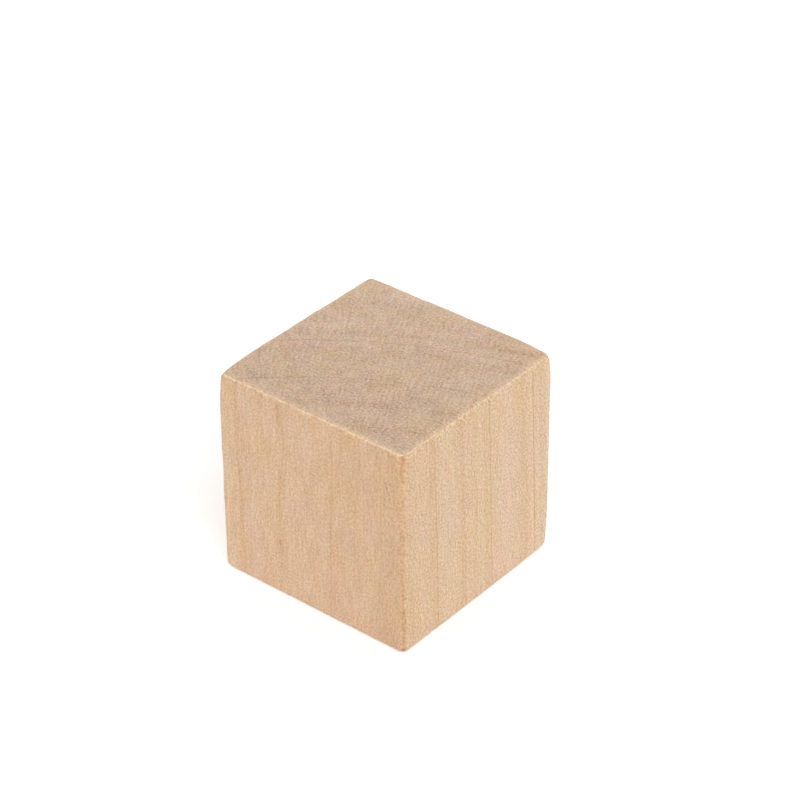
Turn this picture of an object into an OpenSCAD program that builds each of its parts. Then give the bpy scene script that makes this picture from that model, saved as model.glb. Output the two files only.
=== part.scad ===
// Small wooden cube: one planed block with every edge and corner sanded round.
// It stands on its base on the XY plane, centred on the Z axis, with its grain upright.

/* [Block] */
// Length of each side, from flat face to flat face
side = 20; // [10:1:50]

/* [Sanding] */
// Radius of the twelve rounded edges and the eight corners where they meet
edge_r = 0.5; // [0.2:0.1:3]

/* [Hidden] */
// Pale, unfinished hardwood
wood_color = [0.86, 0.72, 0.59];
// Steps in a full turn of a rounding
$fn = 64;
// Distance from the middle of the cube to the axis of each rounded edge
edge_axis = side / 2 - edge_r;
// Straight length of an edge between two corners, and width of each flat face
flat = 2 * edge_axis;

// Three plain blocks crossed at the middle of the cube. Each one carries two opposite
// flat faces, and its other sides end at the axes of the rounded edges.
module flat_faces() {
    cube([side, flat, flat], center = true);
    cube([flat, side, flat], center = true);
    cube([flat, flat, side], center = true);
}

// Quarter of a round rod that runs up from the origin, round towards +X and +Y
module rounded_edge() {
    rotate_extrude(angle = 90)
        square([edge_r, flat]);
}

// Eighth of a ball at the origin, round towards +X, +Y and +Z
module rounded_corner() {
    rotate_extrude(angle = 90)
        intersection() {
            circle(edge_r);
            square(edge_r);
        }
}

// The roundings of a quarter turn: one upright edge, then at the top and again at the
// bottom the level edge on its left and the corner that joins the two
module rounded_quarter() {
    translate([edge_axis, edge_axis, -edge_axis])
        rounded_edge();
    for (end = [0, 1])
        mirror([0, 0, end]) {
            translate([-edge_axis, edge_axis, edge_axis])
                rotate([90, 0, 90])
                    rounded_edge();
            translate([edge_axis, edge_axis, edge_axis])
                rounded_corner();
        }
}

module wooden_cube() {
    color(wood_color)
        translate([0, 0, side / 2]) {
            flat_faces();
            for (turn = [0:90:270])
                rotate([0, 0, turn])
                    rounded_quarter();
        }
}

wooden_cube();
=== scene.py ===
"""Builds the looks of a small wooden cube that stands on a white studio floor.

The cube is one planed block of pale, close-grained hardwood. Its grain runs upright, so the top
and the base are end grain, and every edge and corner is sanded round. The classes give lengths
in millimetres unless they say otherwise, and Blender's own lengths are in metres.
"""

from __future__ import annotations

import logging
import math
from dataclasses import dataclass
from enum import Enum
from typing import Any

import bpy
import numpy as np
from mathutils import Matrix, Vector, noise

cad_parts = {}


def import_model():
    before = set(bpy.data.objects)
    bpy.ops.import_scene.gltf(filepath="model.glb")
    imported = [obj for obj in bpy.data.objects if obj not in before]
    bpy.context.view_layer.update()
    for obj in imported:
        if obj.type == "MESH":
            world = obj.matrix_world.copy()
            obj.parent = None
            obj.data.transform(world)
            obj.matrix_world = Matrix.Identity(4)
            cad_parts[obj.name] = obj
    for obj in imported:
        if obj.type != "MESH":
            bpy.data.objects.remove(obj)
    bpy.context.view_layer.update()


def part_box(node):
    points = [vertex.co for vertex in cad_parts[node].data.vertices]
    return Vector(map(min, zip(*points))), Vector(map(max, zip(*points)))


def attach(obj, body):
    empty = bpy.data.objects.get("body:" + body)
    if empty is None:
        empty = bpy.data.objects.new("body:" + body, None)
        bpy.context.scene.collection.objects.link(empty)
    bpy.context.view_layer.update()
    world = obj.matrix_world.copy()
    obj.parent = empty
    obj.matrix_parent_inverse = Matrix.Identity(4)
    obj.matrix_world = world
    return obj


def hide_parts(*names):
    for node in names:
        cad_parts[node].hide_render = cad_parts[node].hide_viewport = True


MM = 0.001
SIDE = 20.0
HALF = SIDE / 2
WHITE = (1.0, 1.0, 1.0, 1.0)

Colour = tuple[float, float, float]
Triple = tuple[float, float, float]

log = logging.getLogger("wooden_cube")


def put(name: str, data: bpy.types.ID) -> bpy.types.Object:
    """Makes an object from its data and puts it into the scene.

    Args:
        name: The object's name.
        data: Its mesh, lamp or camera.

    Returns:
        The object.
    """
    made = bpy.data.objects.new(name, data)
    bpy.context.scene.collection.objects.link(made)
    return made


class Tint(Enum):
    """How one colour is laid over another."""

    BLEND = "MIX"
    MULTIPLY = "MULTIPLY"


class Signal:
    """One output of a node. Python's operators on it add Math nodes to its sheet."""

    def __init__(self, sheet: NodeSheet, socket: bpy.types.NodeSocket) -> None:
        """Keeps the sheet that the node stands on, and the node's output."""
        self.sheet = sheet
        self.socket = socket

    def _math(self, operation: str, *values: Any, clamp: bool = False) -> Signal:
        """Adds one Math node. The values are its inputs in order, signals or numbers."""
        settings = {"operation": operation, "use_clamp": clamp}
        return self.sheet.node("ShaderNodeMath", settings, dict(enumerate(values)))

    def __add__(self, other: Signal | float) -> Signal:
        """Returns self + other."""
        return self._math("ADD", self, other)

    __radd__ = __add__

    def __sub__(self, other: Signal | float) -> Signal:
        """Returns self - other."""
        return self._math("SUBTRACT", self, other)

    def __rsub__(self, other: float) -> Signal:
        """Returns other - self."""
        return self._math("SUBTRACT", other, self)

    def __mul__(self, other: Signal | float) -> Signal:
        """Returns self * other."""
        return self._math("MULTIPLY", self, other)

    __rmul__ = __mul__

    def __pow__(self, other: float) -> Signal:
        """Returns self raised to a fixed power."""
        return self._math("POWER", self, other)

    def __abs__(self) -> Signal:
        """Returns the size of self without its sign."""
        return self._math("ABSOLUTE", self)

    def lower(self, other: Signal | float) -> Signal:
        """Returns the lower of self and other."""
        return self._math("MINIMUM", self, other)

    def higher(self, other: Signal | float) -> Signal:
        """Returns the higher of self and other."""
        return self._math("MAXIMUM", self, other)

    def eased_lower(self, other: Signal, ease: float) -> Signal:
        """Returns the lower of self and other, rounded off where the two are within ease."""
        return self._math("SMOOTH_MIN", self, other, ease)

    def angle(self, other: Signal) -> Signal:
        """Returns the angle of the point (other, self), in radians."""
        return self._math("ARCTAN2", self, other)

    def clamped(self) -> Signal:
        """Returns self kept between 0 and 1."""
        return self._math("ADD", self, 0.0, clamp=True)

    def rise(self, start: Signal | float, end: Signal | float) -> Signal:
        """Fades smoothly from 0 at start to 1 at end.

        Args:
            start: Where the fade starts.
            end: Where it ends. It may be lower than start.

        Returns:
            The fade, between 0 and 1.
        """
        settings = {"interpolation_type": "SMOOTHSTEP"}
        sockets = {"Value": self, "From Min": start, "From Max": end}
        return self.sheet.node("ShaderNodeMapRange", settings, sockets)


@dataclass(frozen=True)
class Fade:
    """A smooth change along a measure.

    Fields:
        start: Where it begins.
        end: Where it is complete. It may be lower than start.
        depth: What it comes to there, from 0 at the start.
    """

    start: float
    end: float
    depth: float = 1.0

    def of(self, measure: Signal) -> Signal:
        """Returns the change along a measure, from 0 to the depth."""
        change = measure.rise(self.start, self.end)
        return change if self.depth == 1.0 else change * self.depth


@dataclass(frozen=True)
class Patches:
    """A smooth noise.

    Fields:
        scale: How many patches it has in each millimetre, along each axis.
        detail: How many finer layers it has.
        rough: How strong the finer layers are.
        depth: How strong it is as a whole.
    """

    scale: Triple
    detail: float = 2.0
    rough: float = 0.5
    depth: float = 1.0


class NodeSheet:
    """The nodes of one material or of the world."""

    def __init__(self, tree: bpy.types.NodeTree) -> None:
        """Clears the material's or the world's node tree."""
        self.tree = tree
        tree.nodes.clear()

    def add(
        self,
        kind: str,
        settings: dict[str, Any] | None = None,
        sockets: dict[str | int, Any] | None = None,
    ) -> bpy.types.Node:
        """Adds one node.

        Args:
            kind: The node's type.
            settings: Its own settings, which are set first.
            sockets: What each input holds: a number, a colour, or a signal that is linked to it.

        Returns:
            The node.
        """
        made = self.tree.nodes.new(kind)
        for name, value in (settings or {}).items():
            setattr(made, name, value)
        for key, value in (sockets or {}).items():
            socket = self._find(made.inputs, key)
            if isinstance(value, Signal):
                self.tree.links.new(value.socket, socket)
            else:
                socket.default_value = value
        return made

    def node(
        self,
        kind: str,
        settings: dict[str, Any] | None = None,
        sockets: dict[str | int, Any] | None = None,
        output: str | int = 0,
    ) -> Signal:
        """Adds one node and returns one of its outputs, by its name, identifier or number."""
        made = self.add(kind, settings, sockets)
        return Signal(self, self._find(made.outputs, output))

    @staticmethod
    def _find(sockets: Any, key: str | int) -> bpy.types.NodeSocket:
        """Finds one of a node's inputs or outputs by its identifier, name or number."""
        known = {socket.identifier: socket for socket in sockets}
        return known[key] if key in known else sockets[key]

    def mix(self, amount: Signal, under: Any, over: Any, tint: Tint = Tint.BLEND) -> Signal:
        """Lays one colour over another.

        Args:
            amount: How much of the upper colour shows.
            under: The lower colour, a signal or plain numbers.
            over: The upper colour, the same.
            tint: How it is laid.

        Returns:
            The mixed colour.
        """
        settings = {"data_type": "RGBA", "blend_type": tint.value, "clamp_factor": False}
        a, b = (one if isinstance(one, Signal) else (*one, 1.0) for one in (under, over))
        sockets = {"Factor_Float": amount, "A_Color": a, "B_Color": b}
        return self.node("ShaderNodeMix", settings, sockets, "Result_Color")

    def scaled(self, vector: Signal, scale: Triple) -> Signal:
        """Multiplies a vector by one fixed number for each axis."""
        return self.node("ShaderNodeVectorMath", {"operation": "MULTIPLY"}, {0: vector, 1: scale})

    def axes(self, vector: Signal) -> list[Signal]:
        """Returns a vector's three parts."""
        made = self.add("ShaderNodeSeparateXYZ", {}, {0: vector})
        return [Signal(self, part) for part in made.outputs]

    def vector(self, x: Signal, y: Signal, z: Signal) -> Signal:
        """Joins three values into a vector."""
        return self.node("ShaderNodeCombineXYZ", {}, {0: x, 1: y, 2: z})

    def mottle(self, place: Signal, patches: Patches) -> Signal:
        """Makes smooth noise around 0.

        Args:
            place: Where it is read, in millimetres.
            patches: The noise.

        Returns:
            The noise, about -1 to 1 times its depth.
        """
        middle, gain = 0.5, 4.0
        settings = {"noise_dimensions": "3D", "normalize": True}
        sockets = {
            "Vector": self.scaled(place, patches.scale),
            "Scale": 1.0,
            "Detail": patches.detail,
            "Roughness": patches.rough,
        }
        return (self.node("ShaderNodeTexNoise", settings, sockets) - middle) * (gain * patches.depth)

    def seen(self) -> Signal:
        """Finds what the camera sees, also in a reflection or through glass.

        Returns:
            1 for that and 0 for all other light.
        """
        path = self.add("ShaderNodeLightPath")
        camera, glossy, through = (
            Signal(self, path.outputs[name])
            for name in ("Is Camera Ray", "Is Glossy Ray", "Is Transmission Ray")
        )
        return camera.higher(glossy).higher(through)


class Spot:
    """A point of the wood and how it lies in the block, as signals in millimetres.

    Fields:
        sheet: The material's sheet.
        place: The point, measured from the middle of the base.
        x, y, z: Its three parts.
        behind_left, behind_right: How far it is behind the front left and the front right face.
        gap_x, gap_y: How far it is from the nearer quarter-cut and the nearer flat-cut face.
        from_end: How far it is from the nearer end.
        across: Where it lies across an upright edge, below 0 on the flat-cut face.
        quarter, flat: 1 on that kind of side and 0 on the other.
        ragged, worn: The fine and the coarser noise of the sanding there.
    """

    def __init__(self, sheet: NodeSheet, ragged: Patches, worn: Patches) -> None:
        """Measures the point that is shaded.

        Args:
            sheet: The material's sheet.
            ragged: The fine noise of the sanding.
            worn: The coarser one.
        """
        mitre = Fade(-0.2, 0.2)
        metres = sheet.node("ShaderNodeTexCoord", output="Object")
        self.sheet = sheet
        self.place = sheet.scaled(metres, (1 / MM,) * 3)
        self.x, self.y, self.z = sheet.axes(self.place)
        self.behind_left = HALF + self.y
        self.behind_right = HALF - self.x
        self.gap_x = HALF - abs(self.x)
        self.gap_y = HALF - abs(self.y)
        self.from_end = HALF - abs(self.z - HALF)
        self.across = self.gap_y - self.gap_x
        self.quarter = mitre.of(self.across)
        self.flat = 1.0 - self.quarter
        self.ragged = self.noise(ragged)
        self.worn = self.noise(worn)

    def noise(self, patches: Patches) -> Signal:
        """Returns a smooth noise around 0 at the spot."""
        return self.sheet.mottle(self.place, patches)

    def by_cut(self, flat: float, quarter: float) -> Signal:
        """Returns one number on the flat-cut faces and another on the quarter-cut faces."""
        return flat + self.quarter * (quarter - flat)

    def unevenly(self, plain: float, ragged: float, worn: float) -> Signal:
        """Returns a factor with a plain share and a share of each noise of the sanding."""
        return plain + self.ragged * ragged + self.worn * worn


@dataclass(frozen=True)
class GrowthBand:
    """One darker or paler band across the growth rings.

    Fields:
        inner: Where it begins, measured outwards from the front upright edge.
        peak: Where it is strongest.
        outer: Where it ends.
        depth: How dark it gets. A band below 0 is paler than the wood round it.
        until, since: Where round the tree it has faded out or in, from the front upright edge.
        fade: How long it takes to fade in or out.
    """

    inner: float
    peak: float
    outer: float
    depth: float
    until: float | None = None
    since: float | None = None
    fade: float = 7.0

    def shade(self, out: Signal, around: Signal) -> Signal:
        """Shades the band.

        Args:
            out: How far the spot is out from the front upright edge.
            around: How far it is round the tree from that edge.

        Returns:
            How dark the band makes the wood.
        """
        shade = out.rise(self.inner, self.peak) * out.rise(self.outer, self.peak) * self.depth
        if self.until is not None:
            shade = shade * around.rise(self.until, self.until - self.fade)
        if self.since is not None:
            shade = shade * around.rise(self.since - self.fade, self.since)
        return shade


@dataclass(frozen=True)
class RingPlace:
    """Where a spot lies in the tree, as signals in millimetres.

    Fields:
        reach: How far it is from the middle of the tree.
        around: How far it is round the tree from the front upright edge.
        out: How far it is out from the ring that runs through that edge.
        late: How dark the rings make the wood, below 0 where they make it paler.
    """

    reach: Signal
    around: Signal
    out: Signal
    late: Signal


@dataclass(frozen=True)
class GrowthRings:
    """The growth rings, which run through the block as curved shells.

    Fields:
        heart: Where the middle of the tree lies at half the block's height, seen from above.
        lean: How far the rings lean for each millimetre of height.
        bend: How far the outer rings bend in, for each square millimetre round the tree.
        bend_middle: Where round the tree they bend least.
        bent: Where the bend sets in on the way out.
        wave: A slow noise that moves the rings.
        fray: A fine noise that frays them.
        broken: A noise that breaks their colour up.
        bands: Their bands, from the front upright edge outwards.
    """

    heart: tuple[float, float] = (33.4, -56.4)
    lean: tuple[float, float] = (-0.097, -0.082)
    bend: float = 0.00415
    bend_middle: float = 3.2
    bent: Fade = Fade(5.0, 11.0)
    wave: Patches = Patches((0.16, 0.16, 0.09), 1.0, 0.4, 0.05)
    fray: Patches = Patches((1.6, 1.6, 0.8), 2.0, 0.5, 0.02)
    broken: Patches = Patches((4.5, 4.5, 1.0), 2.0, 0.6, 0.6)
    bands: tuple[GrowthBand, ...] = (
        GrowthBand(-5.0, 0.00, 6.00, 0.12),
        GrowthBand(-1.5, 0.70, 1.50, 0.25),
        GrowthBand(1.50, 2.00, 2.60, -0.16),
        GrowthBand(2.90, 3.55, 3.80, 0.42, until=9.0),
        GrowthBand(3.76, 3.93, 4.05, 1.15),
        GrowthBand(4.10, 4.60, 5.40, -0.20),
        GrowthBand(4.60, 5.60, 6.90, -0.18),
        GrowthBand(6.40, 7.25, 7.52, 0.50),
        GrowthBand(7.24, 7.38, 7.50, 0.35),
        GrowthBand(8.40, 8.85, 9.20, 0.18),
        GrowthBand(9.10, 9.60, 10.1, -0.18),
        GrowthBand(9.90, 10.42, 10.66, 0.38, until=14.0),
        GrowthBand(10.50, 10.88, 11.24, 1.20, since=16.0),
        GrowthBand(10.72, 10.90, 11.02, 1.25, until=16.0),
        GrowthBand(11.1, 13.00, 14.4, -0.25),
        GrowthBand(14.1, 15.45, 16.0, 0.42),
        GrowthBand(15.95, 16.35, 16.52, -0.30),
        GrowthBand(16.49, 16.66, 16.78, 1.35),
        GrowthBand(16.8, 17.20, 17.5, -0.24),
        GrowthBand(17.3, 17.75, 18.4, 0.30),
        GrowthBand(18.3, 18.85, 19.9, -0.38),
        GrowthBand(21.4, 22.75, 23.2, 0.38),
        GrowthBand(23.1, 24.30, 24.9, -0.48),
        GrowthBand(24.6, 25.90, 26.2, 0.50),
    )

    def at(self, spot: Spot) -> RingPlace:
        """Finds where a spot lies among the rings.

        Args:
            spot: The spot.

        Returns:
            Its place in the tree.
        """
        level = spot.z - HALF
        over_x = spot.x - self.heart[0] - level * self.lean[0]
        over_y = spot.y - self.heart[1] - level * self.lean[1]
        reach = (over_x * over_x + over_y * over_y) ** 0.5
        edge_x, edge_y = HALF - self.heart[0], -HALF - self.heart[1]
        around = (over_y.angle(over_x) - math.atan2(edge_y, edge_x)) * math.hypot(*self.heart)
        swing = around - self.bend_middle
        out = reach - math.hypot(edge_x, edge_y)
        out = out + swing * swing * self.bent.of(out) * self.bend
        out = out + spot.noise(self.wave) + spot.noise(self.fray)
        late = sum(band.shade(out, around) for band in self.bands)
        return RingPlace(reach, around, out, late * (1.0 + spot.noise(self.broken)))


@dataclass(frozen=True)
class Grain:
    """One kind of fine mark in the wood.

    Fields:
        patches: How fine it is.
        flat, quarter, end: How dark it makes each kind of face.
        height: How far it stands out of the surface, below 0 where it is sunk.
        rough: How much it roughens the surface.
    """

    patches: Patches
    flat: float = 0.0
    quarter: float = 0.0
    end: float = 0.0
    height: float = 0.0
    rough: float = 0.0


@dataclass(frozen=True)
class GrainShade:
    """What the fine marks do at a spot, as signals.

    Fields:
        side, end: How dark they make a side and an end; side also holds the painted shade near the
            ends.
        height: How far they stand out of the surface, below 0 where they are sunk.
        rough: How much they roughen it.
    """

    side: Signal
    end: Signal
    height: Signal
    rough: Signal


@dataclass(frozen=True)
class FineGrain:
    """The fine marks of the wood: fibre, pores and rays, and a painted shade on the sides near the
    ends.

    Fields:
        fibre: Streaks and short dashes on the sides, and specks and clouds on the ends.
        rays: Pale rays, which run out from the middle of the tree.
        pores: The open ends and the cut sides of the wood's fine tubes.
        pore_rim: A pore's edge, as a share of the spacing of the pores.
        near_end_shade: Painted shade: how much darker the sides are close to an end, where their
            rounding turns up towards the lamps.
    """

    fibre: tuple[Grain, ...] = (
        Grain(Patches((4.5, 4.5, 0.3), 2.0, 0.5), flat=0.66, quarter=0.60, height=-0.3),
        Grain(Patches((4.9, 4.9, 5.0), 1.0, 0.5), flat=1.56, quarter=1.94, rough=0.03),
        Grain(Patches((15.0, 15.0, 0.7), 2.0, 0.6), flat=0.8, quarter=0.8, height=-0.2),
        Grain(Patches((4.7, 4.7, 4.7), 1.0, 0.5), end=2.05, height=-0.25),
        Grain(Patches((0.5, 0.5, 0.4), 3.0, 0.6), end=0.95),
        Grain(Patches((12.0, 12.0, 9.0), 2.0, 0.6), end=1.2),
    )
    rays: Grain = Grain(Patches((4.6, 0.45, 1.6), 1.0, 0.5), end=-0.9)
    pores: Grain = Grain(Patches((4.0, 4.0, 0.9)), flat=0.8, quarter=0.8, end=1.3, height=-0.6)
    pore_rim: Fade = Fade(0.30, 0.12)
    near_end_shade: Fade = Fade(0.60, 0.35, 0.1)

    def at(self, spot: Spot, ring: RingPlace) -> GrainShade:
        """Draws the marks at a spot, with the painted shade on the sides near the ends.

        Args:
            spot: The spot.
            ring: Its place in the tree.

        Returns:
            What the marks do there.
        """
        sheet = spot.sheet
        in_tree = sheet.vector(ring.around, ring.reach, spot.z)
        cells = {"Vector": sheet.scaled(spot.place, self.pores.patches.scale), "Scale": 1.0}
        drawn = [(grain, spot.noise(grain.patches)) for grain in self.fibre]
        drawn.append((self.rays, sheet.mottle(in_tree, self.rays.patches)))
        drawn.append((self.pores, self.pore_rim.of(sheet.node("ShaderNodeTexVoronoi", {}, cells))))
        side = sum(mark * spot.by_cut(grain.flat, grain.quarter) for grain, mark in drawn if grain.flat)
        return GrainShade(
            # Painted shade on the rounding near each end, which the lamps light more.
            side=side + self.near_end_shade.of(spot.from_end),
            end=sum(mark * grain.end for grain, mark in drawn if grain.end),
            height=sum(mark * grain.height for grain, mark in drawn if grain.height),
            rough=sum(mark * grain.rough for grain, mark in drawn if grain.rough),
        )


@dataclass(frozen=True)
class Fleck:
    """One short dark mark in the wood of the front left face.

    Fields:
        x, z: Where its middle lies, across the block and up.
        length, width: How long and how wide it is.
        lean: How far it leans for each millimetre of height.
        depth: How dark it is.
    """

    x: float
    z: float
    length: float
    width: float
    lean: float
    depth: float

    def shade(self, spot: Spot) -> Signal:
        """Draws the fleck.

        Args:
            spot: The spot.

        Returns:
            How dark it makes the wood.
        """
        rise = spot.z - self.z
        aside = abs(spot.x - self.x - rise * self.lean)
        along = abs(rise).rise(self.length * 0.5, self.length * 0.2)
        return along * aside.rise(self.width, 0.0) * self.depth


@dataclass(frozen=True)
class SideStains:
    """The brown marks on the sides: flecks, and a broken line at each front corner.

    Fields:
        flecks: The flecks.
        fleck_ragged: How much the flecks are frayed.
        fleck_depth: How deep behind the front left face they end.
        near_corner: Where the broken line ends, measured from the front upright edge.
        line_upper, line_lower: Its two sides, measured from the nearer end.
        line_worn: How much the coarser noise of the sanding breaks it.
        line_depth: How dark it is.
    """

    flecks: tuple[Fleck, ...] = (
        Fleck(8.40, 15.9, 2.8, 0.16, -0.29, 0.75),
        Fleck(8.75, 16.4, 1.6, 0.12, -0.25, 0.50),
        Fleck(6.00, 15.0, 1.1, 0.20, -0.30, 0.50),
        Fleck(-3.45, 5.4, 0.8, 0.14, -0.20, 1.40),
        Fleck(-1.75, 7.6, 0.8, 0.10, -0.10, 0.40),
        Fleck(9.10, 3.0, 1.6, 0.10, -0.04, 0.50),
        Fleck(8.60, 1.9, 1.2, 0.10, -0.04, 0.45),
    )
    fleck_ragged: float = 1.2
    fleck_depth: Fade = Fade(0.4, 0.2)
    near_corner: Fade = Fade(1.5, 0.4)
    line_upper: Fade = Fade(0.34, 0.44)
    line_lower: Fade = Fade(0.66, 0.54)
    line_worn: float = 0.5
    line_depth: float = 1.6

    def at(self, spot: Spot) -> Signal:
        """Draws the marks.

        Args:
            spot: The spot.

        Returns:
            How brown they make it.
        """
        flecks = sum(fleck.shade(spot) for fleck in self.flecks)
        flecks = flecks * (1.0 + spot.ragged * self.fleck_ragged)
        line = self.near_corner.of(spot.behind_right.higher(spot.behind_left))
        line = line * self.line_lower.of(spot.from_end) * self.line_upper.of(spot.from_end)
        line = line * (spot.ragged + spot.worn * self.line_worn)
        return line.higher(0.0) * self.line_depth + flecks * self.fleck_depth.of(spot.behind_left)


@dataclass(frozen=True)
class TopStreak:
    """The brown streak with dark spots that follows one of the rings on the top.

    Fields:
        length: Where it sets in, across the block.
        strong: Where it gets strong.
        inner, outer: Its two sides, measured out from the front upright edge.
        spots: The noise of its dark spots.
        spotted: What of that noise is a spot.
        weak: How brown it is along its length, plainly and in a spot.
        full: How much browner it is where it is strong, plainly and in a spot.
        dash_start, dash_end: Where a short dash begins and ends, across the block.
        dash_inner, dash_outer: Its two sides, measured outwards.
        dash_depth: How brown the dash is.
        halo: How brown the wood outside the streak is.
    """

    length: Fade = Fade(-2.0, 5.0)
    strong: Fade = Fade(4.6, 6.0)
    inner: Fade = Fade(17.6, 18.15)
    outer: Fade = Fade(19.3, 18.5)
    spots: Patches = Patches((2.4, 2.4, 2.4), 3.0, 0.7)
    spotted: Fade = Fade(-0.25, 0.85)
    weak: tuple[float, float] = (0.10, 0.5)
    full: tuple[float, float] = (0.20, 1.1)
    dash_start: Fade = Fade(-2.4, -1.2)
    dash_end: Fade = Fade(1.4, 0.2)
    dash_inner: Fade = Fade(17.6, 17.9)
    dash_outer: Fade = Fade(18.5, 18.1)
    dash_depth: float = 0.4
    halo: Fade = Fade(18.0, 19.5, 0.12)

    def at(self, spot: Spot, out: Signal) -> Signal:
        """Draws the streak.

        Args:
            spot: The spot.
            out: How far it is out from the front upright edge.

        Returns:
            How brown the wood is.
        """
        length = self.length.of(spot.x)
        spots = self.spotted.of(spot.noise(self.spots))
        ribbon = self.inner.of(out) * self.outer.of(out)
        weak = self.weak[0] + spots * self.weak[1]
        full = self.full[0] + spots * self.full[1]
        brown = ribbon * weak * length + ribbon * full * self.strong.of(spot.x)
        dash = self.dash_start.of(spot.x) * self.dash_end.of(spot.x)
        dash = dash * self.dash_inner.of(out) * self.dash_outer.of(out)
        return brown + dash * self.dash_depth + length * self.halo.of(out)


@dataclass(frozen=True)
class UprightEdges:
    """The four upright edges, which sanding has left a little darker and warmer.

    Fields:
        flat_side, quarter_side: The dark line's side on each kind of face.
        depth: How dark the line is.
        upper, lower: How much darker it gets towards the top and towards the base.
        flat_rim: How dark the flat-cut face gets towards the edge.
        front_rim: How much darker it gets towards the front edge.
        pale_start, pale_end: The two sides of a paler line on the quarter-cut face.
        uneven: The factor's plain share, and the shares of the two noises of the sanding.
        warm: Where the wood round an edge is warmer.
        warm_reach: How much further this reaches across the quarter-cut face near the top.
        warm_plain, warm_upper: How warm it is, and how much warmer it gets towards the top.
    """

    flat_side: Fade = Fade(-0.28, 0.05)
    quarter_side: Fade = Fade(0.44, 0.09)
    depth: float = 1.45
    upper: Fade = Fade(16.5, 19.5, 1.2)
    lower: Fade = Fade(9.0, 1.0, 1.9)
    flat_rim: Fade = Fade(0.70, 0.12, 0.20)
    front_rim: Fade = Fade(2.6, 0.6, 0.13)
    pale_start: Fade = Fade(0.25, 0.5)
    pale_end: Fade = Fade(0.95, 0.65, 0.2)
    uneven: Triple = (0.85, 0.20, 0.25)
    warm: Fade = Fade(0.60, 0.15)
    warm_reach: Fade = Fade(6.0, 19.0, 0.45)
    warm_plain: float = 0.3
    warm_upper: Fade = Fade(8.0, 19.0, 0.5)

    def darkness(self, spot: Spot) -> Signal:
        """Draws the darker edges.

        Args:
            spot: The spot.

        Returns:
            How dark they make the wood.
        """
        line = self.flat_side.of(spot.across) * self.quarter_side.of(spot.across)
        line = line * (self.depth + self.upper.of(spot.z) + self.lower.of(spot.z))
        rim = self.flat_rim.of(spot.gap_x) + self.front_rim.of(spot.behind_right)
        pale = self.pale_start.of(spot.gap_y) * self.pale_end.of(spot.gap_y)
        return (line + spot.flat * rim - spot.quarter * pale) * spot.unevenly(*self.uneven)

    def warmth(self, spot: Spot) -> Signal:
        """Returns how much warmer the wood round the edges is."""
        gap = spot.gap_x.higher(spot.gap_y - self.warm_reach.of(spot.z))
        return self.warm.of(gap) * (self.warm_plain + self.warm_upper.of(spot.z))


@dataclass(frozen=True)
class EndEdges:
    """The edges round the two ends, where long grain turns into end grain, worn pale by sanding and
    with a painted highlight.

    Fields:
        ease: How widely the line round the end turns at an upright edge.
        frayed: How far each noise of the sanding moves that line.
        cut: Where end grain sets in, measured across the line towards the end.
        crest: Where the pale line with its painted highlight begins, measured in the same way.
        crest_flat, crest_quarter: Where it ends and how pale it is, next to each kind of side.
        past: Where the end's rim begins, measured in the same way.
        rim: How pale the rim is, by how far it is from the nearest side.
        wide_rim: How much paler it is next to a flat-cut face, measured in the same way.
        down: Where the rubbing stops down the sides, measured from the end.
        uneven: The factor's plain share, and the shares of the two noises of the sanding.
    """

    ease: float = 1.1
    frayed: float = 0.05
    cut: Fade = Fade(-0.08, 0.14)
    crest: Fade = Fade(-0.12, 0.02)
    crest_flat: Fade = Fade(0.26, 0.05, 0.93)
    crest_quarter: Fade = Fade(0.11, 0.02, 0.98)
    past: Fade = Fade(0.0, 0.2)
    rim: Fade = Fade(0.70, 0.05, 0.42)
    wide_rim: Fade = Fade(1.80, 0.40, 0.10)
    down: Fade = Fade(0.5, 0.3)
    uneven: Triple = (0.92, 0.55, 0.45)

    def turn(self, spot: Spot) -> Signal:
        """Returns how far a spot is past the line round the end, below 0 on the sides."""
        line = spot.gap_x.eased_lower(spot.gap_y, self.ease) - spot.from_end
        return line + spot.ragged * self.frayed + spot.worn * self.frayed

    def rubbed_and_highlit(self, spot: Spot, turn: Signal) -> Signal:
        """Finds how far the edge is worn pale and carries the painted highlight.

        Args:
            spot: The spot.
            turn: How far it is past the line where the sides turn into the end.

        Returns:
            The share of the pale colour with its painted highlight, between 0 and 1.
        """
        # The crest carries pale worn wood and a painted highlight where the rounding faces the lamps.
        flat, quarter = self.crest_flat, self.crest_quarter
        fade = spot.by_cut(flat.start, quarter.start), spot.by_cut(flat.end, quarter.end)
        crest = self.crest.of(turn) * turn.rise(*fade) * spot.by_cut(flat.depth, quarter.depth)
        from_side = spot.gap_x.lower(spot.gap_y)
        rim = self.rim.of(from_side) + spot.flat * self.wide_rim.of(from_side)
        rubbed_and_highlit = crest.higher(rim * self.past.of(turn)) * self.down.of(spot.from_end)
        return (rubbed_and_highlit * spot.unevenly(*self.uneven)).clamped()


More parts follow.
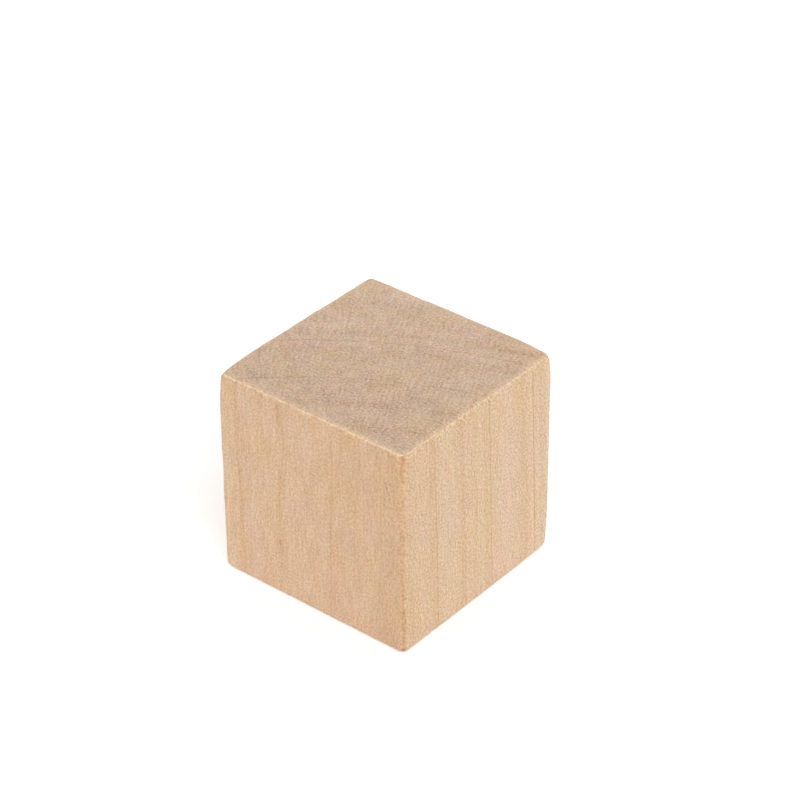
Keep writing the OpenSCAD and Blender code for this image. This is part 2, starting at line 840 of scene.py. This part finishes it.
@dataclass(frozen=True)
class BroadShades:
    """How dark the growth rings show on each face, and the slow changes over it, one of which is
    painted shade.

    Fields:
        rings_flat, rings_quarter, rings_end: How strong the rings are on each kind of face.
        plain_out: How far out from the front upright edge the wood has its plain colour.
        outwards, end_outwards: How much paler sides and ends get for each millimetre out.
        around: How much paler the sides get for each millimetre round the tree.
        painted_shade_upwards: How much darker the sides get for each millimetre of height, a painted
            shade that offsets the stronger light on their upper part.
        end_rightwards: How much paler the ends get for each millimetre to the right.
        blotches: Soft blotches on the sides.
        blotch_flat, blotch_quarter: How dark they are on each kind of side.
        pale_back: How much paler the quarter-cut faces get towards the back.
        pale_left: How much paler the flat-cut faces get towards the left.
        corner: How much darker the flat-cut faces get towards the front upright edge.
        corner_ends: Where this sets in, measured from the nearer end.
    """

    rings_flat: float = 0.75
    rings_quarter: float = 1.12
    rings_end: float = 0.8
    plain_out: float = 10.0
    outwards: float = 0.021
    end_outwards: float = 0.0462
    around: float = 0.008
    painted_shade_upwards: float = 0.015
    end_rightwards: float = 0.016
    blotches: Patches = Patches((1.15, 1.15, 0.35), 2.0, 0.6)
    blotch_flat: float = 0.56
    blotch_quarter: float = 0.06
    pale_back: Fade = Fade(7.5, 9.7, 0.30)
    pale_left: Fade = Fade(-8.6, -9.4, 0.42)
    corner: Fade = Fade(5.0, 1.0, 0.34)
    corner_ends: Fade = Fade(3.0, 0.6)

    def side(self, spot: Spot, ring: RingPlace) -> Signal:
        """Shades a side.

        Args:
            spot: The spot.
            ring: Its place in the tree.

        Returns:
            How dark the side is, below 0 where it is paler.
        """
        dark = ring.late * spot.by_cut(self.rings_flat, self.rings_quarter)
        dark = dark - (ring.out - self.plain_out) * self.outwards - ring.around * self.around
        # Painted shade that grows with height, offsetting the stronger light on the upper sides.
        dark = dark + (spot.z - HALF) * self.painted_shade_upwards
        dark = dark + spot.noise(self.blotches) * spot.by_cut(self.blotch_flat, self.blotch_quarter)
        dark = dark - spot.quarter * self.pale_back.of(spot.y)
        dark = dark - spot.flat * self.pale_left.of(spot.x)
        corner = self.corner.of(spot.behind_right) * self.corner_ends.of(spot.from_end)
        return dark + spot.flat * corner

    def end(self, spot: Spot, ring: RingPlace) -> Signal:
        """Returns how dark an end is at a spot, below 0 where it is paler."""
        dark = ring.late * self.rings_end - (ring.out - self.plain_out) * self.end_outwards
        return dark - spot.x * self.end_rightwards


@dataclass(frozen=True)
class SandedHardwood:
    """Pale close-grained hardwood, planed and sanded, with no oil or varnish on it.

    The colours from late_wood to blush say what one full step of each leaves of the wood's colour.

    Fields:
        flat_cut: Colour of the long grain on the faces that lie along the rings.
        quarter_cut: Colour of the long grain on the faces that lie across the rings.
        end: Colour of the end grain.
        rub_and_highlight: Colour of the sanded edge between end grain and long grain: pale worn wood
            with a painted highlight.
        late_wood: Late wood in the long grain.
        fibre: Dark fibre in the long grain.
        cut_fibre: Darkness of the end grain.
        stain: A brown mark.
        upright_rub: Sanding along the upright edges.
        warmth: Warmer wood round those edges.
        yellowing: Yellower wood.
        blush: Redder wood.
        yellow, red: Where the wood is yellower and where it is redder.
        roughness, end_roughness: Roughness of the long grain, and how much rougher the ends are.
        shine: The shader's specular level.
        relief, relief_depth: How strong and how deep the relief of the fine marks is.
        ragged, worn: The fine noise of the sanding, and the coarser one.
        rings, grain, shades, side_stains, top_streak: What the wood shows; grain and shades also hold
        painted shade.
        upright_edges, end_edges: What the sanding has done to the edges; end_edges also holds a painted
            highlight.
    """

    flat_cut: Colour = (0.687, 0.461, 0.295)
    quarter_cut: Colour = (0.730, 0.518, 0.339)
    end: Colour = (0.559, 0.395, 0.274)
    # Pale worn wood and a painted highlight in one colour.
    rub_and_highlight: Colour = (0.822, 0.599, 0.406)
    late_wood: Colour = (0.926, 0.865, 0.778)
    fibre: Colour = (0.901, 0.872, 0.827)
    cut_fibre: Colour = (0.890, 0.867, 0.844)
    stain: Colour = (0.85, 0.77, 0.66)
    upright_rub: Colour = (0.930, 0.887, 0.872)
    warmth: Colour = (1.006, 0.988, 0.945)
    yellowing: Colour = (1.0, 1.005, 0.93)
    blush: Colour = (1.022, 0.988, 0.985)
    yellow: Patches = Patches((0.45, 0.45, 0.28), 1.0, 0.5)
    red: Patches = Patches((0.6, 0.6, 0.32), 1.0, 0.5)
    roughness: float = 0.62
    end_roughness: float = 0.14
    shine: float = 0.35
    relief: float = 0.25
    relief_depth: float = 0.02
    ragged: Patches = Patches((2.5, 2.5, 2.5), 3.0, 0.6)
    worn: Patches = Patches((1.7, 1.7, 0.8), 2.0, 0.6)
    rings: GrowthRings = GrowthRings()
    grain: FineGrain = FineGrain()
    shades: BroadShades = BroadShades()
    side_stains: SideStains = SideStains()
    top_streak: TopStreak = TopStreak()
    upright_edges: UprightEdges = UprightEdges()
    end_edges: EndEdges = EndEdges()

    def material(self) -> bpy.types.Material:
        """Builds the finish.

        Returns:
            The material.
        """
        made = bpy.data.materials.new("sanded_hardwood")
        made.use_nodes = True
        sheet = NodeSheet(made.node_tree)
        spot = Spot(sheet, self.ragged, self.worn)
        ring = self.rings.at(spot)
        grain = self.grain.at(spot, ring)
        turn = self.end_edges.turn(spot)
        cut = self.end_edges.cut.of(turn)

        colour = sheet.mix(cut, self._side(spot, ring, grain), self._end(spot, ring, grain))
        colour = sheet.mix(spot.noise(self.yellow), colour, self.yellowing, Tint.MULTIPLY)
        colour = sheet.mix(spot.noise(self.red), colour, self.blush, Tint.MULTIPLY)
        # The edges round the ends: pale worn wood with a painted highlight along the crest.
        rubbed_and_highlit = sheet.mix(grain.side, self.rub_and_highlight, self.fibre, Tint.MULTIPLY)
        colour = sheet.mix(self.end_edges.rubbed_and_highlit(spot, turn), colour, rubbed_and_highlit)

        relief = {
            "Height": grain.height,
            "Strength": self.relief,
            "Distance": self.relief_depth * MM,
        }
        surface = {
            "Base Color": colour,
            "Roughness": self.roughness + cut * self.end_roughness + grain.rough,
            "Normal": sheet.node("ShaderNodeBump", {}, relief),
            "Specular IOR Level": self.shine,
        }
        wood = sheet.node("ShaderNodeBsdfPrincipled", {}, surface)
        sheet.add("ShaderNodeOutputMaterial", {}, {"Surface": wood})
        return made

    def _side(self, spot: Spot, ring: RingPlace, grain: GrainShade) -> Signal:
        """Colours the long grain.

        Args:
            spot: The spot.
            ring: Its place in the tree.
            grain: What the fine marks do there.

        Returns:
            The colour.
        """
        sheet = spot.sheet
        colour = sheet.mix(spot.quarter, self.flat_cut, self.quarter_cut)
        for amount, tint in (
            (self.shades.side(spot, ring), self.late_wood),
            (grain.side, self.fibre),
            (self.side_stains.at(spot), self.stain),
            (self.upright_edges.darkness(spot), self.upright_rub),
            (self.upright_edges.warmth(spot), self.warmth),
        ):
            colour = sheet.mix(amount, colour, tint, Tint.MULTIPLY)
        return colour

    def _end(self, spot: Spot, ring: RingPlace, grain: GrainShade) -> Signal:
        """Colours the end grain.

        Args:
            spot: The spot.
            ring: Its place in the tree.
            grain: What the fine marks do there.

        Returns:
            The colour.
        """
        dark = self.shades.end(spot, ring) + grain.end
        colour = spot.sheet.mix(dark, self.end, self.cut_fibre, Tint.MULTIPLY)
        streak = self.top_streak.at(spot, ring.out)
        return spot.sheet.mix(streak, colour, self.stain, Tint.MULTIPLY)


@dataclass(frozen=True)
class SandedBlock:
    """The cube itself: a block with rounded edges, each a little uneven from sanding by machine.

    Fields:
        side: Length from flat face to flat face.
        edge_r: Radius of the rounded edges.
        corner_r: The signs of each corner's x, y and height, and the radius there.
        corner_reach: How far along the edges a corner's radius reaches.
        wander: How the radius wanders: waves in a millimetre, and the share it changes by.
        border: Width of the fine mesh along each edge.
        border_cells: Rows of mesh in that border.
        flat_cells: Rows of mesh between the borders.
    """

    side: float = SIDE
    edge_r: float = 0.5
    corner_r: tuple[tuple[tuple[int, int, int], float], ...] = (
        ((-1, 1, 1), 0.53),
        ((1, 1, 1), 0.92),
        ((1, 1, -1), 0.76),
        ((1, -1, -1), 0.53),
        ((-1, -1, -1), 0.56),
        ((-1, -1, 1), 0.95),
        ((1, -1, 1), 0.80),
        ((-1, 1, -1), 0.60),
    )
    corner_reach: float = 2.2
    wander: tuple[tuple[float, float], ...] = ((0.45, 0.16), (1.9, 0.12))
    border: float = 0.8
    border_cells: int = 10
    flat_cells: int = 92

    @property
    def half(self) -> float:
        """Returns half the side."""
        return self.side / 2

    def build(self, finish: SandedHardwood) -> bpy.types.Object:
        """Builds the block and gives it its finish.

        Args:
            finish: The wood's finish.

        Returns:
            The block.
        """
        points, quads = self._shell()
        mesh = bpy.data.meshes.new("sanded_block")
        mesh.from_pydata([tuple(point) for point in points], [], quads)
        mesh.validate()
        mesh.polygons.foreach_set("use_smooth", [True] * len(mesh.polygons))
        mesh.materials.append(finish.material())
        mesh.update()
        return put("sanded_block", mesh)

    def _shell(self) -> tuple[np.ndarray, list[tuple[int, ...]]]:
        """Lays a grid on each face and joins the grids along the edges.

        Returns:
            The points in metres and the four-sided faces.
        """
        rows = self._rows()
        last = len(rows) - 1
        numbers: dict[tuple[int, ...], int] = {}
        quads: list[tuple[int, ...]] = []
        for axis in range(3):
            for end in (0, last):
                flip = (end == 0) != (axis == 1)
                for i in range(last):
                    for j in range(last):
                        ring = []
                        for cell in ((i, j), (i + 1, j), (i + 1, j + 1), (i, j + 1)):
                            key = (*cell[:axis], end, *cell[axis:])
                            ring.append(numbers.setdefault(key, len(numbers)))
                        quads.append(tuple(reversed(ring)) if flip else tuple(ring))
        sharp = np.array([[rows[row] for row in key] for key in numbers])
        return self._sanded(sharp) * MM, quads

    def _rows(self) -> list[float]:
        """Spaces the grid's rows along one side of the block.

        Returns:
            Their places, measured from the side's middle.
        """
        inner = self.half - self.border
        flat = np.linspace(-inner, inner, self.flat_cells + 1)
        rim = np.linspace(inner, self.half, self.border_cells + 1)[1:]
        return [*(-rim[::-1]), *flat, *rim]

    def _sanded(self, sharp: np.ndarray) -> np.ndarray:
        """Rounds the sharp cube off, with a radius that changes a little along the edges.

        Args:
            sharp: Points on a sharp cube round the origin.

        Returns:
            The same points on the sanded block, which stands on the floor.
        """
        radius = np.array([self._radius(Vector(point)) for point in sharp])[:, None]
        inner = np.clip(sharp, -(self.half - radius), self.half - radius)
        away = sharp - inner
        length = np.linalg.norm(away, axis=1, keepdims=True)
        return inner + radius * away / length + np.array([0.0, 0.0, self.half])

    def _radius(self, point: Vector) -> float:
        """Gives the rounding's radius near a point.

        Args:
            point: A point on the sharp cube.

        Returns:
            The radius there.
        """
        wander = sum(noise.noise(point * waves) * share for waves, share in self.wander)
        radius = self.edge_r * (1.0 + wander)
        for signs, wanted in self.corner_r:
            away = (point - Vector(signs) * self.half).length / self.corner_reach
            radius += (wanted - self.edge_r) * math.exp(-(away**2))
        return radius


@dataclass(frozen=True)
class SoftLamp:
    """One square lamp that faces the block.

    Fields:
        name: Its name.
        place: Where it hangs, in metres.
        power: Its power, in watts.
        size: Its width, in metres.
    """

    name: str
    place: Triple
    power: float
    size: float = 0.8

    def hang(self, target: Vector) -> None:
        """Hangs the lamp.

        Args:
            target: What it faces, in metres.
        """
        data = bpy.data.lights.new(self.name, "AREA")
        data.shape = "SQUARE"
        data.size = self.size
        data.energy = self.power
        lamp = put(self.name, data)
        lamp.location = self.place
        aim = target - Vector(self.place)
        lamp.rotation_euler = aim.to_track_quat("-Z", "Y").to_euler()


@dataclass(frozen=True)
class FloorPaint:
    """Matte white, which fades into the white surround.

    Fields:
        grey: Its colour.
        lift: How much white it adds where the camera sees it.
        fade: How far out it fades, in metres.
    """

    grey: float = 0.96
    lift: float = 0.18
    fade: Fade = Fade(0.10, 0.35)

    def material(self) -> bpy.types.Material:
        """Builds the finish.

        Returns:
            The material.
        """
        made = bpy.data.materials.new("studio_white")
        made.use_nodes = True
        sheet = NodeSheet(made.node_tree)
        grey = (*(self.grey,) * 3, 1.0)
        matte = sheet.node("ShaderNodeBsdfDiffuse", {}, {"Color": grey})
        glow = sheet.node("ShaderNodeEmission", {}, {"Color": WHITE, "Strength": self.lift})
        lit = sheet.node("ShaderNodeAddShader", {}, {0: matte, 1: glow})
        white = sheet.node("ShaderNodeEmission", {}, {"Color": WHITE, "Strength": 1.0})
        x, y, _ = sheet.axes(sheet.node("ShaderNodeTexCoord", output="Object"))
        far = self.fade.of((x * x + y * y) ** 0.5)
        faded = sheet.node("ShaderNodeMixShader", {}, {0: far, 1: lit, 2: white})
        chosen = sheet.node("ShaderNodeMixShader", {}, {0: sheet.seen(), 1: matte, 2: faded})
        sheet.add("ShaderNodeOutputMaterial", {}, {"Surface": chosen})
        return made


@dataclass(frozen=True)
class Studio:
    """A white floor, a white surround and three large soft lamps.

    Fields:
        floor_size: Width of the floor, in metres.
        ambient: How much light the surround gives.
        lamps: The lamps.
    """

    floor_size: float = 3.0
    ambient: float = 0.50
    lamps: tuple[SoftLamp, ...] = (
        SoftLamp("front_lamp", (0.50, -0.43, 0.75), 6.3),
        SoftLamp("left_lamp", (-0.45, -0.80, 0.40), 0.5),
        SoftLamp("back_lamp", (-0.62, 0.66, 0.40), 2.6),
    )

    def lay_floor(self, paint: FloorPaint) -> None:
        """Lays the floor.

        Args:
            paint: The floor's finish.
        """
        reach = self.floor_size / 2
        corners = ((-1, -1), (1, -1), (1, 1), (-1, 1))
        mesh = bpy.data.meshes.new("studio_floor")
        mesh.from_pydata([(x * reach, y * reach, 0.0) for x, y in corners], [], [(0, 1, 2, 3)])
        mesh.materials.append(paint.material())
        mesh.update()
        floor = put("studio_floor", mesh)

    def surround(self) -> None:
        """Makes the white surround."""
        world = bpy.data.worlds.new("studio")
        world.use_nodes = True
        bpy.context.scene.world = world
        sheet = NodeSheet(world.node_tree)
        soft = sheet.node("ShaderNodeBackground", {}, {"Color": WHITE, "Strength": self.ambient})
        plain = sheet.node("ShaderNodeBackground", {}, {"Color": WHITE, "Strength": 1.0})
        chosen = sheet.node("ShaderNodeMixShader", {}, {0: sheet.seen(), 1: soft, 2: plain})
        sheet.add("ShaderNodeOutputWorld", {}, {"Surface": chosen})


@dataclass(frozen=True)
class Viewpoint:
    """The camera, placed by its angles and by where the block's middle falls in the picture.

    Fields:
        azimuth: Degrees round from the front.
        elevation: Degrees above the horizon.
        roll: Degrees that the camera is turned about its own axis.
        depth: Distance to the block's middle along the camera's axis.
        focal_px: Focal length, in picture points.
        picture_px: Width and height of the picture.
        middle_px: Where the block's middle falls in the picture, from its upper left corner.
        sensor: Width of the camera's sensor.
        nearest: The nearest that the camera sees.
    """

    azimuth: float = 39.402
    elevation: float = 33.391
    roll: float = 0.285
    depth: float = 233.208
    focal_px: float = 2734.0
    picture_px: float = 800.0
    middle_px: tuple[float, float] = (386.60, 460.27)
    sensor: float = 36.0
    nearest: float = 10.0

    def place(self, target: Vector) -> None:
        """Places the camera.

        Args:
            target: The block's middle, in metres.
        """
        data = bpy.data.cameras.new("viewpoint")
        data.sensor_width = self.sensor
        data.lens = self.focal_px / self.picture_px * self.sensor
        data.clip_start = self.nearest * MM
        right, down, back = self._axes()
        depth = self.depth * MM
        off_x, off_y = (
            (middle - self.picture_px / 2) / self.focal_px * depth for middle in self.middle_px
        )
        stand = target + back * depth - right * off_x - down * off_y
        turned = Matrix((right, -down, back)).transposed()
        camera = put("viewpoint", data)
        camera.matrix_world = Matrix.Translation(stand) @ turned.to_4x4()
        bpy.context.scene.camera = camera

    def _axes(self) -> tuple[Vector, Vector, Vector]:
        """Works the camera's own directions out.

        Returns:
            Its right, its down, and the way back from the block to it.
        """
        azimuth, elevation, roll = map(math.radians, (self.azimuth, self.elevation, self.roll))
        level = math.cos(elevation)
        back = Vector((math.sin(azimuth) * level, -math.cos(azimuth) * level, math.sin(elevation)))
        level_right = (-back).cross(Vector((0.0, 0.0, 1.0))).normalized()
        level_down = (-back).cross(level_right)
        right = level_right * math.cos(roll) + level_down * math.sin(roll)
        down = level_down * math.cos(roll) - level_right * math.sin(roll)
        return right, down, back


def main() -> None:
    """Builds the block, the studio and the camera."""
    logging.basicConfig(level=logging.INFO, format="%(name)s: %(message)s")
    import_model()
    bpy.context.scene.view_settings.view_transform = "Standard"
    lowest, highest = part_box("wooden_cube")
    middle = (Vector(lowest) + Vector(highest)) / 2

    block = SandedBlock().build(SandedHardwood())
    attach(block, "root")
    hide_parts("wooden_cube")
    log.info("block: %d faces", len(block.data.polygons))

    studio = Studio()
    studio.lay_floor(FloorPaint())
    studio.surround()
    for lamp in studio.lamps:
        lamp.hang(middle)
    log.info("studio: floor, surround and %d lamps", len(studio.lamps))

    Viewpoint().place(middle)
    log.info("camera placed")

    bpy.context.view_layer.update()


if __name__ == "__main__":
    main()
